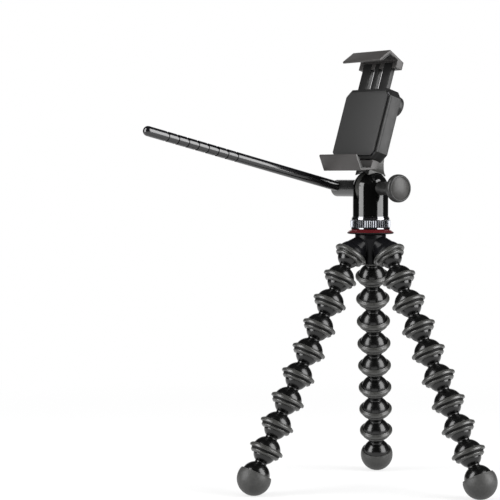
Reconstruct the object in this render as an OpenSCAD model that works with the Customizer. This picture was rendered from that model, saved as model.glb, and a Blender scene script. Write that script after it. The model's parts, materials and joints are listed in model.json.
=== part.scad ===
// Flexible tripod: three jointed legs, a pan and tilt head with a handle,
// and a clamp with sliding jaws that turns a quarter turn.
// Origin on the floor under the pan axis. +X runs along the tilt axis to the
// lock knob, -Y is the front, the side that the clamp faces, +Z is up.

/* [Leg segments] */
// Ball joints in each leg, the foot's ball included
leg_joints = 9; // [7:1:9]
// Lean of the legs from upright
leg_lean = 25.6; // [20:0.1:32]
// Turn of the first leg from the front
leg_turn = -9.5; // [-30:0.5:30]
// Radius of a joint's ball
ball_r = 7.4; // [7:0.1:7.6]
// Radius of the neck between a ball and its shell
neck_r = 4; // [3:0.1:4.6]
// Bare length of the neck
neck_len = 0.9; // [0.7:0.1:3]
// Outside radius of a segment's round shell
shell_r = 9.4; // [9.3:0.1:10]
// Distance from a shell's centre down to the centre of the ball in it
shell_drop = 1.8; // [1.5:0.1:2.2]
// Distance from a held ball's centre down to the socket's mouth
mouth_drop = 1.8; // [1.5:0.1:2.6]
// Running clearance of a ball in its socket
ball_gap = 0.05; // [0.02:0.01:0.1]

/* [Rubber grips] */
// Outside radius of the rubber grip ring
grip_r = 11.3; // [10.8:0.1:12]
// Height of the grip ring along the leg
grip_h = 6; // [5:0.1:6.6]
// Wall of the socket inside the grip ring
seat_wall = 0.65; // [0.5:0.05:1]
// Gap between rubber and the part that it is stretched on
rubber_gap = 0.03; // [0.02:0.01:0.05]

/* [Feet] */
// Radius of the round rubber foot
foot_r = 11.15; // [10.6:0.05:12.5]
// Distance from the foot shell's centre down to the foot's centre
foot_drop = 2.1; // [1.2:0.1:2.6]
// Height of the foot's open rim over its centre
foot_rim = 4.2; // [3:0.1:6]
// Depth of the small flat that the foot stands on
foot_flat = 0.25; // [0.1:0.05:0.5]

/* [Hub] */
// Distance of the hub's balls from the pan axis
hub_reach = 15.7; // [15:0.1:20]
// Lean of the hub's sockets from upright
hub_lean = 36; // [30:1:44]
// Height of the hub's flat top over its balls
hub_rise = 14.9; // [14:0.1:20]
// Radius of the hub's neck
hub_neck_r = 10.2; // [9:0.1:12]
// Height of the straight part of the neck
hub_neck_h = 3.4; // [2:0.1:4]
// Radius of the hub's lower tip between the sockets
hub_tip_r = 4.4; // [3:0.1:4.8]
// Depth of the hub's lower tip below its balls
hub_tip_drop = 5; // [3:0.1:7]
// Radius of the hub's mounting screw
stud_r = 3.175; // [2.8:0.005:3.5]
// Length of the screw above the hub's flat top
stud_rise = 13; // [12.2:0.1:13.2]

/* [Base ring and locking ring] */
// Outside radius of the coloured base ring
base_ring_r = 15.35; // [14:0.05:17]
// Height of the base ring
base_ring_h = 3.4; // [2.6:0.1:5]
// Outside radius of the knurled locking ring
lock_ring_r = 13.2; // [12:0.1:14]
// Height of the locking ring
lock_ring_h = 6.1; // [5:0.1:6.2]
// Ribs round the locking ring
lock_ribs = 54; // [30:1:72]

/* [Pan head] */
// Radius of the collar under the head
collar_r = 12.5; // [11.8:0.1:13]
// Height of the collar
collar_h = 2.05; // [1.5:0.05:3]
// Radius of the head's barrel and of its dome
barrel_r = 11.7; // [11.6:0.1:12.4]
// Height of the tilt axis over the collar
barrel_h = 18.6; // [18.4:0.1:24]
// Radius of the pan spindle
spindle_r = 6; // [5:0.1:7]
// Height of the pan spindle
spindle_h = 4.1; // [3.6:0.1:4.2]
// Radius of the tilt knuckle
knuckle_r = 11; // [10:0.1:11.2]
// Thickness of the tilt knuckle
knuckle_t = 4.7; // [4:0.1:6]
// Thickness of the two tilt washers
tilt_washer_t = 0.45; // [0.3:0.05:0.6]
// Distance from the pan axis to the seats of the knob and handle socket
seat_x = 8; // [7:0.1:8.6]

/* [Tilt knob] */
// Radius of the knob's stem
knob_stem_r = 4.3; // [3.8:0.1:4.8]
// Radius of the knob's cap
knob_r = 9.15; // [8:0.05:11]
// Distance from the pan axis to the middle of the knob's rim
knob_x = 30; // [27:0.5:36]
// Thickness of the knob's rim
knob_rim_t = 2.6; // [1.6:0.1:3]
// Radius of the tilt bolt
tilt_bolt_r = 2.5; // [2:0.1:2.6]

/* [Handle] */
// Radius of the handle's socket
socket_r = 5.6; // [5:0.05:6]
// Distance from the pan axis to the end of the socket
socket_end_x = 38.3; // [35:0.1:44]
// Distance from the pan axis to the handle rod
handle_x = 31; // [28:0.5:31]
// Radius of the handle rod
rod_r = 3.3; // [2.8:0.1:3.6]
// Distance from the tilt axis to the tip of the rod
rod_reach = 158.5; // [130:0.5:200]
// Angle of the rod below the clamp's normal
rod_droop = 3.5; // [0:0.5:6]
// Grip grooves in the rod
rod_grooves = 8; // [4:1:10]
// Distance between grip grooves
rod_groove_pitch = 7.6; // [6:0.1:8]
// Depth of a grip groove
rod_groove_depth = 0.55; // [0.3:0.05:0.8]

/* [Tilt arm] */
// Backward tilt of the clamp in the stored pose
rest_tilt = 17; // [0:1:30]
// Forward tilt that the head allows, from the stored pose
tilt_forward = 77; // [40:1:77]
// Distance from the tilt axis to the clamp's pivot
pivot_rise = 38; // [38:0.5:44]
// Radius of the arm's round boss behind the clamp
boss_r = 14.5; // [12:0.1:15]
// Thickness of the boss
boss_t = 4.6; // [4:0.1:5]
// Half width of the arm's flared foot over the dome
arm_foot_w = 7.2; // [6:0.1:8]
// Half width of the arm's slim part
arm_slim_w = 2.7; // [2.4:0.1:4]

/* [Clamp] */
// Width between the jaws in the stored pose
grip_w = 69.5; // [62:0.5:84]
// Height of the lower jaw's fold over the tilt axis
lower_fold_rise = 4.2; // [3.8:0.1:5]
// Distance from the tilt axis to the front of the rubber pad
pad_reach = 21; // [20.6:0.1:22.5]
// Width of the clamp's body
clamp_w = 49; // [46:0.5:50]
// Length of the clamp's body along the slide
clamp_h = 48; // [46:0.5:48.5]
// Height of the body's lower edge over the tilt axis
clamp_rise = 14; // [13.6:0.1:14.4]
// Distance from the tilt axis to the back of the body
clamp_back_reach = 10.8; // [10.7:0.1:11.2]
// Thickness of the front plate
front_t = 1.45; // [1.2:0.05:1.6]
// Thickness of the rubber pad on the front
pad_t = 1.2; // [0.8:0.1:1.4]
// Cut corners of the body
clamp_bevel = 5; // [4.6:0.1:7]

/* [Jaws] */
// Width of the jaws
jaw_w = 41; // [36:0.5:42]
// Thickness of a jaw's plate
jaw_t = 1.6; // [1.2:0.1:2]
// Thickness of the rubber in a jaw
jaw_pad_t = 0.6; // [0.4:0.1:0.8]
// Length of a jaw's front lip
lip_len = 10.3; // [8:0.1:12]
// Angle of the front lip to the slide
lip_angle = 38; // [34:1:44]
// Slope of a jaw's shelf
shelf_angle = 20; // [14:1:22]
// Distance from the tilt axis to a jaw's fold
fold_reach = 25.6; // [25:0.1:27]
// Distance from a fold to the edge of what it holds
fold_depth = 6.2; // [5.6:0.1:7]

/* [Slide rails and jaw lock] */
// Width of an outer rail
rail_w = 9; // [7:0.1:9.4]
// Distance from the side of the clamp's body to an outer rail
rail_side = 8.7; // [8.4:0.1:9.4]
// Thickness of the rails
rail_t = 3.2; // [2.6:0.1:3.2]
// Width of the middle rail
post_w = 4.4; // [3.6:0.1:5]
// Length of the rails below the body's upper edge
rail_grip = 31.5; // [28:0.5:31.5]
// Play of the rails in their channels
rail_gap = 0.1; // [0.05:0.01:0.15]
// Distance from the pivot to the jaw lock's screw
lock_rise = 19.5; // [19:0.1:20]
// Radius of the jaw lock's knob
lock_knob_r = 7; // [6:0.1:7.4]
// Radius of the jaw lock's stem
lock_stem_r = 3; // [2.6:0.1:3.4]

/* [Hidden] */
$fn = 64;
// fineness of what a hull joins
hull_fn = 32;
// overrun of cuts
over = 0.5;
// gap between faces that touch on the real object
face_gap = 0.05;
// running clearance of shafts in bores
run_gap = 0.05;
// clearance between round faces that pass each other
pass_gap = 0.4;

// Places along a leg, measured from the ball at its top
ball_to_neck = sqrt(pow(ball_r, 2) - pow(neck_r, 2));
shell_to_neck = sqrt(pow(shell_r, 2) - pow(neck_r, 2));
shell_at = ball_to_neck + neck_len + shell_to_neck;
leg_pitch = shell_at + shell_drop;
foot_at = shell_at + foot_drop;
leg_len = (leg_joints - 1) * leg_pitch + foot_at;
socket_r_in = ball_r + ball_gap;
seat_r = socket_r_in + seat_wall;
grip_in_r = seat_r + rubber_gap;
// outline of the grip ring: share of its width, share of its height
grip_shares = [[0, 0], [0.43, 0], [0.75, 0.09], [0.94, 0.23], [1, 0.36],
    [0.97, 0.46], [0.76, 0.55], [0.18, 0.575], [0.18, 0.72], [0.38, 0.745],
    [0.43, 0.83], [0.34, 0.925], [0.05, 1], [0, 1]];

// Heights of the stand, from the floor up
foot_z = foot_r - foot_flat;
hub_ball_z = foot_z + leg_len * cos(leg_lean);
hub_top_z = hub_ball_z + hub_rise;
base_ring_top_z = hub_top_z + base_ring_h;
lock_ring_top_z = base_ring_top_z + lock_ring_h;
collar_z = lock_ring_top_z + face_gap;
collar_top_z = collar_z + collar_h;
tilt_z = collar_top_z + barrel_h;
leg_names = ["left", "right", "rear"];
legs = len(leg_names);
leg_step = 360 / legs;

// Hub details
hub_spigot_r = hub_neck_r / 2;
spigot_h = base_ring_h - face_gap;
stud_flange_r = 1.6 * stud_r;
stud_flange_h = stud_r;
stud_depth = 2.4 * stud_r;
shoulder_r = 0.8 * shell_r;
shoulder_lift = shell_r / 3;
shoulder_root_r = 0.55 * hub_neck_r;

// Base ring outline: share of its radius, share of its height
base_ring_shares = [[0.93, 0], [0.985, 0.1], [1, 0.26], [0.985, 0.4],
    [0.9, 0.72], [0.82, 0.9], [0.8, 1]];
rib_depth = 0.045 * lock_ring_r;
lock_skirt_h = 0.2 * lock_ring_h;
lock_skirt_r = 0.95 * lock_ring_r;

// Pan head details
slot_half = knuckle_t / 2 + tilt_washer_t + face_gap;
slot_r = knuckle_r + pass_gap;
window_drop = 0.6 * barrel_r;
washer_reach = 3.36;
pan_washer_r = spindle_r + washer_reach;
pan_washer_t = 0.14 * spindle_h;
pan_screw_r = 0.26 * spindle_r;
pan_head_r = 0.45 * spindle_r;
pan_head_h = 0.25 * spindle_r;
pan_floor_z = tilt_z - slot_r;
pan_seat_z = pan_floor_z - pan_head_h - 2 * face_gap;
spindle_top_z = collar_top_z + spindle_h;
stud_top_z = hub_top_z + stud_rise;
shank_r = 0.75 * socket_r;
washer_in_r = shank_r + pass_gap;
washer_out_r = 0.82 * knuckle_r;
seat_gap = pass_gap;

// Knob details: outline of cap and stem as shares of the knob's radius
knob_back_share = 0.55;
knob_face_share = 0.42;
knob_face_r = 0.9 * knob_r;
knob_bolt_end = knob_x - knob_rim_t / 2;
knob_crown = 0.3 * knob_face_r;
knob_sphere_r = (pow(knob_face_r, 2) + pow(knob_crown, 2)) / (2 * knob_crown);

// Handle details
socket_bevel = 0.16 * socket_r;
rod_in = 0.4 * socket_r;
rod_groove_w = 0.24 * rod_groove_pitch;
rod_first_groove = rod_reach - rod_groove_pitch * (rod_grooves - 1) - 2.35 * rod_groove_pitch;

// Clamp details, n is the distance from the tilt axis toward the front
boss_back_n = clamp_back_reach - face_gap - boss_t;
pad_n = pad_reach - pad_t;
front_n = pad_n - face_gap - front_t;
shell_front_n = front_n - face_gap;
rail_n = shell_front_n - face_gap - rail_t;
channel_n = rail_n - rail_gap;
clamp_top = clamp_rise + clamp_h;
boss_crown = boss_t / 2;
pivot_tail_n = boss_back_n - boss_crown;
arm_side_half = 0.36 * clamp_back_reach;
pivot_r = 3;
pivot_head_r = 6;
pivot_head_h = 2.3;
pivot_head_n = channel_n - 2 * face_gap - pivot_head_h;
pivot_washer_r = 9;
pivot_washer_t = 0.6;
wall = 2;
screw_r = 1.25;
screw_head_r = 2.3;
screw_inset = 4;
screw_depth = 5;
rail_x = clamp_w / 2 - rail_side - rail_w;
rail_low = clamp_top - rail_grip;
upper_fold_rise = lower_fold_rise + 2 * fold_depth + grip_w;
jaw_block_h = 9.8;
jaw_block_n = channel_n - wall;
jaw_socket = 4;
rail_top = upper_fold_rise - jaw_block_h + jaw_socket;
jaw_pad_shelf = fold_reach - pad_reach;
lock_z = pivot_rise + lock_rise;
lock_screw_r = 2;
shoe_t = 0.9;
shoe_w = 8;
shoe_h = 6;
lock_stem_len = 7;
knob_crown_h = 9;

// Places: a leg's hub socket, a ball of the leg, the tilting frame
module at_hub_ball(leg)
    rotate([0, 0, leg_turn + leg * leg_step])
        translate([0, -hub_reach, hub_ball_z]) children();

module at_leg_ball(leg, i)
    at_hub_ball(leg) rotate([-leg_lean, 0, 0])
        translate([0, 0, -(i - 1) * leg_pitch]) children();

module at_socket(leg) at_hub_ball(leg) rotate([-hub_lean, 0, 0]) children();

module tilted() translate([0, 0, tilt_z]) rotate([-rest_tilt, 0, 0]) children();

// turns local +Z to the clamp's front, at a height over the tilt axis
module toward_front(rise) translate([0, 0, rise]) rotate([90, 0, 0]) children();

// extrudes an outline drawn in (n, height) across the clamp's width
module across(width)
    rotate([90, 0, -90]) linear_extrude(height = width, center = true) children();

module block(x0, x1, n0, n1, z0, z1)
    translate([x0, -n1, z0]) cube([x1 - x0, n1 - n0, z1 - z0]);

// a tube or rod along X between two places
module along_x(x0, x1, r)
    translate([x0, 0, 0]) rotate([0, 90, 0]) cylinder(r = r, h = x1 - x0);

// Socket half of a shell, with the held ball's centre at the origin
module socket_outside(cap) {
    intersection() {
        translate([0, 0, shell_drop]) sphere(r = shell_r);
        translate([0, 0, grip_h - mouth_drop])
            cylinder(r = shell_r + over, h = cap);
    }
    translate([0, 0, -mouth_drop]) cylinder(r = seat_r, h = grip_h + over);
}

module socket_inside() {
    sphere(r = socket_r_in);
    translate([0, 0, -mouth_drop - over])
        cylinder(r = sqrt(pow(socket_r_in, 2) - pow(mouth_drop, 2)),
                 h = mouth_drop + over);
}

// the rubber ring of a shell, seated under the dome's edge
module grip_ring()
    rotate_extrude()
        polygon([for (p = grip_shares)
            [grip_in_r + p[0] * (grip_r - grip_in_r),
             grip_h - mouth_drop - rubber_gap - p[1] * (grip_h - rubber_gap)]]);

module ball_and_neck() {
    sphere(r = ball_r);
    translate([0, 0, -shell_at]) cylinder(r = neck_r, h = shell_at);
}

module leg_segment(leg, i)
    at_leg_ball(leg, i) {
        color([0.04, 0.04, 0.045]) difference() {
            union() {
                ball_and_neck();
                translate([0, 0, -leg_pitch]) socket_outside(leg_pitch);
            }
            translate([0, 0, -leg_pitch]) socket_inside();
        }
        color([0.2, 0.2, 0.2]) translate([0, 0, -leg_pitch]) grip_ring();
    }

module foot(leg)
    at_leg_ball(leg, leg_joints) {
        color([0.04, 0.04, 0.045]) {
            ball_and_neck();
            translate([0, 0, -shell_at]) sphere(r = shell_r);
        }
        color([0.2, 0.2, 0.2]) difference() {
            translate([0, 0, -foot_at]) sphere(r = foot_r);
            translate([0, 0, -shell_at]) sphere(r = shell_r + rubber_gap);
            translate([0, 0, foot_rim - foot_at]) cylinder(r = foot_r, h = foot_r);
            translate([0, 0, -foot_at]) rotate([leg_lean, 0, 0])
                translate([0, 0, -foot_r - foot_z])
                    cube(2 * foot_r, center = true);
        }
    }

// Hub
module hub_shoulder(leg)
    hull() {
        rotate([0, 0, leg_turn + leg * leg_step])
            translate([0, shoulder_root_r + rubber_gap - hub_neck_r, hub_top_z - hub_neck_h])
                cylinder(r = shoulder_root_r, h = hub_neck_h / 2, $fn = hull_fn);
        at_socket(leg) translate([0, 0, shell_drop + shoulder_lift])
            sphere(r = shoulder_r, $fn = hull_fn);
    }

module hub_body()
    color([0.07, 0.07, 0.07]) difference() {
        union() {
            difference() {
                union() {
                    translate([0, 0, hub_top_z - hub_neck_h])
                        cylinder(r = hub_neck_r, h = hub_neck_h);
                    translate([0, 0, hub_ball_z - hub_tip_drop])
                        cylinder(r1 = hub_tip_r, r2 = hub_neck_r,
                                 h = hub_rise - hub_neck_h + hub_tip_drop);
                    for (leg = [0:legs - 1]) hub_shoulder(leg);
                }
                for (leg = [0:legs - 1]) at_socket(leg)
                    translate([0, 0, grip_h - mouth_drop - leg_pitch])
                        cylinder(r = grip_r + rubber_gap, h = leg_pitch);
            }
            for (leg = [0:legs - 1]) at_socket(leg) socket_outside(shell_r);
            translate([0, 0, hub_top_z - over])
                cylinder(r = hub_spigot_r, h = spigot_h + over);
        }
        for (leg = [0:legs - 1]) at_socket(leg) socket_inside();
        translate([0, 0, hub_top_z - stud_depth - face_gap])
            cylinder(r = stud_r + face_gap, h = stud_depth + base_ring_h + over);
        translate([0, 0, hub_top_z - stud_depth - face_gap])
            cylinder(r = stud_flange_r + face_gap, h = stud_flange_h + 2 * face_gap);
    }

module hub_grips()
    color([0.2, 0.2, 0.2]) for (leg = [0:legs - 1]) at_socket(leg) grip_ring();

module hub_stud()
    color([0.75, 0.75, 0.77]) {
        translate([0, 0, hub_top_z - stud_depth])
            cylinder(r = stud_r, h = stud_depth + stud_rise);
        translate([0, 0, hub_top_z - stud_depth])
            cylinder(r = stud_flange_r, h = stud_flange_h);
    }

module base_ring()
    color([0.55, 0.05, 0.06]) translate([0, 0, hub_top_z + face_gap]) rotate_extrude()
        polygon(concat(
            [[hub_spigot_r + face_gap, 0]],
            [for (p = base_ring_shares)
                [p[0] * base_ring_r, p[1] * (base_ring_h - face_gap)]],
            [[hub_spigot_r + face_gap, base_ring_h - face_gap]]));

module lock_ring()
    color([0.75, 0.76, 0.78]) difference() {
        translate([0, 0, base_ring_top_z + face_gap]) {
            cylinder(r = lock_skirt_r, h = lock_ring_h - face_gap);
            translate([0, 0, lock_skirt_h])
                linear_extrude(height = lock_ring_h - face_gap - lock_skirt_h)
                    polygon([for (i = [0:2 * lock_ribs - 1])
                        let (r = lock_ring_r - (i % 2) * rib_depth, a = i * 180 / lock_ribs)
                            [r * cos(a), r * sin(a)]]);
        }
        translate([0, 0, base_ring_top_z - over])
            cylinder(r = stud_r + run_gap, h = lock_ring_h + 2 * over);
    }

// Pan head
module pan_base()
    color([0.04, 0.04, 0.045]) difference() {
        union() {
            translate([0, 0, collar_z]) cylinder(r = collar_r, h = collar_h);
            translate([0, 0, collar_z]) cylinder(r = spindle_r, h = collar_h + spindle_h);
        }
        translate([0, 0, collar_z - over])
            cylinder(r = stud_r + face_gap, h = stud_top_z + face_gap - collar_z + over);
        translate([0, 0, collar_z]) cylinder(r = pan_screw_r + face_gap, h = barrel_h);
    }

module pan_screw()
    color([0.75, 0.75, 0.77]) {
        translate([0, 0, stud_top_z + 2 * face_gap])
            cylinder(r = pan_screw_r, h = pan_seat_z + pan_head_h - stud_top_z - face_gap);
        translate([0, 0, pan_seat_z + face_gap]) cylinder(r = pan_head_r, h = pan_head_h);
    }

module pan_washer()
    color([0.85, 0.85, 0.82]) translate([0, 0, collar_top_z + face_gap / 2]) difference() {
        cylinder(r = pan_washer_r, h = pan_washer_t);
        translate([0, 0, -over]) cylinder(r = spindle_r + run_gap, h = pan_washer_t + 2 * over);
    }

module pan_housing()
    color([0.03, 0.03, 0.035]) difference() {
        union() {
            translate([0, 0, collar_top_z + face_gap])
                cylinder(r = barrel_r, h = barrel_h - face_gap);
            translate([0, 0, tilt_z]) intersection() {
                sphere(r = barrel_r);
                translate([0, 0, -over]) cylinder(r = barrel_r + over, h = barrel_r + 2 * over);
            }
        }
        // bore for the spindle, recess for the washer, hole and seat for the screw
        translate([0, 0, collar_top_z]) cylinder(r = spindle_r + run_gap, h = spindle_h + face_gap);
        translate([0, 0, collar_top_z])
            cylinder(r = pan_washer_r + pass_gap, h = pan_washer_t + face_gap);
        translate([0, 0, collar_top_z]) cylinder(r = pan_screw_r + run_gap, h = barrel_h);
        translate([0, 0, pan_seat_z]) cylinder(r = pan_head_r + pass_gap, h = knuckle_r);
        // slot for the knuckle, open to front, back and top
        translate([0, 0, tilt_z]) {
            along_x(-slot_half, slot_half, slot_r);
            translate([-slot_half, -barrel_r - over, 0])
                cube([2 * slot_half, 2 * (barrel_r + over), barrel_r + over]);
            for (side = [0, 180]) rotate([0, 0, side])
                translate([-slot_half, -barrel_r - over, -window_drop])
                    cube([2 * slot_half, barrel_r + over - sqrt(pow(slot_r, 2) - pow(window_drop, 2)),
                          window_drop + over]);
            // bores of the two cheeks and the seats outside them
            along_x(0, barrel_r, tilt_bolt_r + run_gap);
            along_x(-barrel_r, 0, shank_r + run_gap);
            along_x(seat_x, barrel_r + over, knob_stem_r + seat_gap);
            along_x(-barrel_r - over, -seat_x, socket_r + seat_gap);
        }
    }

module tilt_washers()
    color([0.85, 0.85, 0.82]) translate([0, 0, tilt_z])
        for (side = [0, 180]) rotate([0, 0, side]) difference() {
            along_x(knuckle_t / 2 + face_gap / 2, knuckle_t / 2 + face_gap / 2 + tilt_washer_t,
                    washer_out_r);
            along_x(0, barrel_r, washer_in_r);
        }

// Tilt arm: side and front outlines, as shares of the boss's place
arm_side_shares = [[-0.36, 0], [-0.4, 0.28], [-0.34, 0.5], [-0.2, 0.72], [0, 0.9], [0.2, 1.02],
    [0.55, 1.2], [0.62, 1.26], [0.78, 1.26], [0.78, 0.6], [0.72, 0.46], [0.76, 0.38],
    [0.84, 0.31], [0.9, 0.24], [0.9, 0]];
arm_foot_rise = 0.27 * pivot_rise;
arm_waist_rise = 0.48 * pivot_rise;
arm_top_rise = pivot_rise + boss_r;
arm_waist_shares = [0, 0.08, 0.2, 0.38, 0.6, 0.8, 0.94, 1];

module arm_front_outline() {
    half = [for (i = [0:len(arm_waist_shares) - 1])
        let (s = i / (len(arm_waist_shares) - 1))
            [arm_foot_w + (arm_slim_w - arm_foot_w) * sin(90 * s),
             arm_foot_rise + (arm_waist_rise - arm_foot_rise) * arm_waist_shares[i]]];
    top = [[arm_slim_w, arm_top_rise]];
    right = concat([[arm_foot_w, 0]], half, top);
    left = [for (i = [len(right) - 1:-1:0]) [-right[i][0], right[i][1]]];
    polygon(concat(right, left));
}

module tilt_arm()
    color([0.12, 0.12, 0.12]) tilted() difference() {
        union() {
            along_x(-knuckle_t / 2, knuckle_t / 2, knuckle_r);
            // the fin that runs in the head's slot
            block(-knuckle_t / 2, knuckle_t / 2, -arm_side_half, arm_side_half, 0,
                  barrel_r + 2 * pass_gap);
            difference() {
                intersection() {
                    across(2 * arm_foot_w) polygon([for (p = arm_side_shares)
                        [p[0] * clamp_back_reach, p[1] * pivot_rise]]);
                    rotate([90, 0, 0]) linear_extrude(height = 2 * boss_back_n + boss_r, center = true)
                        arm_front_outline();
                }
                sphere(r = barrel_r + pass_gap);
                // room for the barrel at the full forward tilt
                rotate([rest_tilt - tilt_forward, 0, 0]) translate([0, 0, -3 * barrel_r])
                    cylinder(r = barrel_r + pass_gap, h = 3 * barrel_r);
            }
            toward_front(pivot_rise) translate([0, 0, boss_back_n]) {
                cylinder(r = boss_r, h = boss_t);
                translate([0, 0, -boss_crown]) cylinder(r1 = boss_r / 2, r2 = boss_r, h = boss_crown);
            }
        }
        along_x(-barrel_r, barrel_r, shank_r + face_gap);
        // hole of the clamp's pivot and the recess of its washer
        toward_front(pivot_rise) {
            translate([0, 0, -barrel_r]) cylinder(r = pivot_r + face_gap, h = 3 * barrel_r);
            translate([0, 0, clamp_back_reach - face_gap - pivot_washer_t])
                cylinder(r = pivot_washer_r + pass_gap, h = pivot_washer_t + over);
        }
    }

module tilt_bolt()
    color([0.75, 0.75, 0.77]) translate([0, 0, tilt_z])
        along_x(-seat_x - tilt_bolt_r, knob_bolt_end, tilt_bolt_r);

module clamp_pivot()
    color([0.75, 0.75, 0.77]) tilted() toward_front(pivot_rise) {
        translate([0, 0, pivot_tail_n])
            cylinder(r = pivot_r, h = pivot_head_n + pivot_head_h - pivot_tail_n);
        translate([0, 0, pivot_head_n]) cylinder(r = pivot_head_r, h = pivot_head_h);
    }

module pivot_washer()
    color([0.85, 0.85, 0.82]) tilted() toward_front(pivot_rise)
        translate([0, 0, clamp_back_reach - face_gap / 2 - pivot_washer_t]) difference() {
            cylinder(r = pivot_washer_r, h = pivot_washer_t);
            translate([0, 0, -over])
                cylinder(r = pivot_r + pass_gap, h = pivot_washer_t + 2 * over);
        }

// Handle
module along_rod() rotate([90 + rod_droop, 0, 0]) children();

module handle_socket()
    color([0.1, 0.1, 0.1]) tilted() difference() {
        union() {
            along_x(-seat_x - face_gap, knuckle_t / 2, shank_r);
            rotate([0, -90, 0]) translate([0, 0, seat_x + face_gap]) {
                cylinder(r = socket_r, h = socket_end_x - seat_x - face_gap - socket_bevel);
                translate([0, 0, socket_end_x - seat_x - face_gap - socket_bevel])
                    cylinder(r1 = socket_r, r2 = socket_r - socket_bevel, h = socket_bevel);
            }
        }
        along_x(-seat_x - tilt_bolt_r - face_gap, barrel_r, tilt_bolt_r + face_gap);
        translate([-handle_x, 0, 0]) along_rod() translate([0, 0, -rod_in - run_gap])
            cylinder(r = rod_r + run_gap, h = 3 * socket_r);
    }

module handle_rod()
    color([0.05, 0.05, 0.055]) tilted() translate([-handle_x, 0, 0]) along_rod() difference() {
        union() {
            translate([0, 0, -rod_in]) cylinder(r = rod_r, h = rod_in + rod_reach - rod_r);
            translate([0, 0, rod_reach - rod_r]) sphere(r = rod_r);
        }
        for (i = [0:rod_grooves - 1])
            translate([0, 0, rod_first_groove + i * rod_groove_pitch]) difference() {
                cylinder(r = rod_r + over, h = rod_groove_w);
                translate([0, 0, -over])
                    cylinder(r = rod_r - rod_groove_depth, h = rod_groove_w + 2 * over);
            }
    }

// Tilt knob: revolved about X, heights measured from the pan axis
module tilt_knob()
    color([0.05, 0.05, 0.05]) translate([0, 0, tilt_z]) rotate([0, 90, 0]) difference() {
        union() {
            translate([0, 0, seat_x + face_gap])
                cylinder(r = knob_stem_r, h = knob_x - seat_x - face_gap);
            translate([0, 0, knob_x - knob_rim_t / 2 - knob_back_share * knob_stem_r])
                cylinder(r1 = knob_stem_r, r2 = knob_r, h = knob_back_share * knob_stem_r);
            translate([0, 0, knob_x - knob_rim_t / 2]) cylinder(r = knob_r, h = knob_rim_t);
        }
        translate([0, 0, 0]) cylinder(r = tilt_bolt_r + run_gap, h = knob_bolt_end + face_gap);
        translate([0, 0, knob_x]) cylinder(r = knob_face_r + face_gap, h = knob_r);
    }

module tilt_knob_cap()
    color([0.22, 0.22, 0.22]) translate([0, 0, tilt_z]) rotate([0, 90, 0])
        translate([0, 0, knob_x + face_gap]) {
            cylinder(r = knob_face_r, h = knob_rim_t / 2);
            translate([0, 0, knob_rim_t / 2 - face_gap]) intersection() {
                translate([0, 0, knob_crown - knob_sphere_r]) sphere(r = knob_sphere_r);
                cylinder(r = knob_face_r, h = knob_crown + over);
            }
        }

// Clamp body
module beveled(x0, z0, z1, bevel)
    polygon([[-x0 + bevel, z0], [x0 - bevel, z0], [x0, z0 + bevel], [x0, z1 - bevel],
        [x0 - bevel, z1], [-x0 + bevel, z1], [-x0, z1 - bevel], [-x0, z0 + bevel]]);

// a plate across the clamp, from its back n0 to its front n1
module plate(n0, n1)
    translate([0, -n0, 0]) rotate([90, 0, 0]) linear_extrude(height = n1 - n0) children();

module rail_blocks(gap, low, high, n0, n1)
    for (side = [0, 1]) mirror([side, 0, 0])
        block(rail_x - gap, rail_x + rail_w + gap, n0, n1, low, high);

module screw_places()
    for (x = [-1, 1], z = [0, 1])
        toward_front(clamp_rise + clamp_bevel + z * (clamp_h - 2 * clamp_bevel))
            translate([x * (clamp_w / 2 - screw_inset), 0, 0]) children();

module clamp_back()
    color([0.05, 0.05, 0.05]) tilted() difference() {
        plate(clamp_back_reach, shell_front_n) beveled(clamp_w / 2, clamp_rise, clamp_top, clamp_bevel);
        rail_blocks(rail_gap, clamp_rise + wall, clamp_top + over, channel_n, shell_front_n + over);
        block(-post_w / 2 - rail_gap, post_w / 2 + rail_gap, channel_n, shell_front_n + over,
              clamp_rise + wall, clamp_top + over);
        // seat of the pivot's head and its bore
        toward_front(pivot_rise) {
            cylinder(r = pivot_r + run_gap, h = shell_front_n);
            translate([0, 0, pivot_head_n - face_gap])
                cylinder(r = pivot_head_r + pass_gap, h = pivot_head_h + 2 * face_gap);
        }
        // the lock's threaded hole and the recess of its brake shoe
        toward_front(lock_z) cylinder(r = lock_screw_r + run_gap, h = channel_n);
        block(-shoe_w / 2 - rail_gap, shoe_w / 2 + rail_gap, channel_n - shoe_t - 2 * rail_gap,
              channel_n + face_gap, lock_z - shoe_h / 2 - rail_gap, lock_z + shoe_h / 2 + rail_gap);
        screw_places() translate([0, 0, front_n - screw_depth])
            cylinder(r = screw_r + face_gap, h = screw_depth);
    }

module clamp_front()
    color([0.06, 0.06, 0.06]) tilted() difference() {
        plate(front_n, front_n + front_t) beveled(clamp_w / 2, clamp_rise, clamp_top, clamp_bevel);
        screw_places() translate([0, 0, front_n - over])
            cylinder(r = screw_r + face_gap, h = front_t + 2 * over);
        screw_places() translate([0, 0, front_n + front_t / 3])
            cylinder(r = screw_head_r + face_gap, h = front_t);
    }

module clamp_screws()
    color([0.7, 0.7, 0.72]) tilted() screw_places() {
        translate([0, 0, front_n + face_gap - screw_depth])
            cylinder(r = screw_r, h = screw_depth + front_t / 2);
        translate([0, 0, front_n + front_t / 3 + face_gap])
            cylinder(r = screw_head_r, h = front_t / 2);
    }

module back_pad()
    color([0.16, 0.16, 0.16]) tilted() plate(pad_n, pad_reach)
        beveled(clamp_w / 2 - wall, clamp_rise + wall, clamp_top - wall, clamp_bevel - wall);

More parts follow.
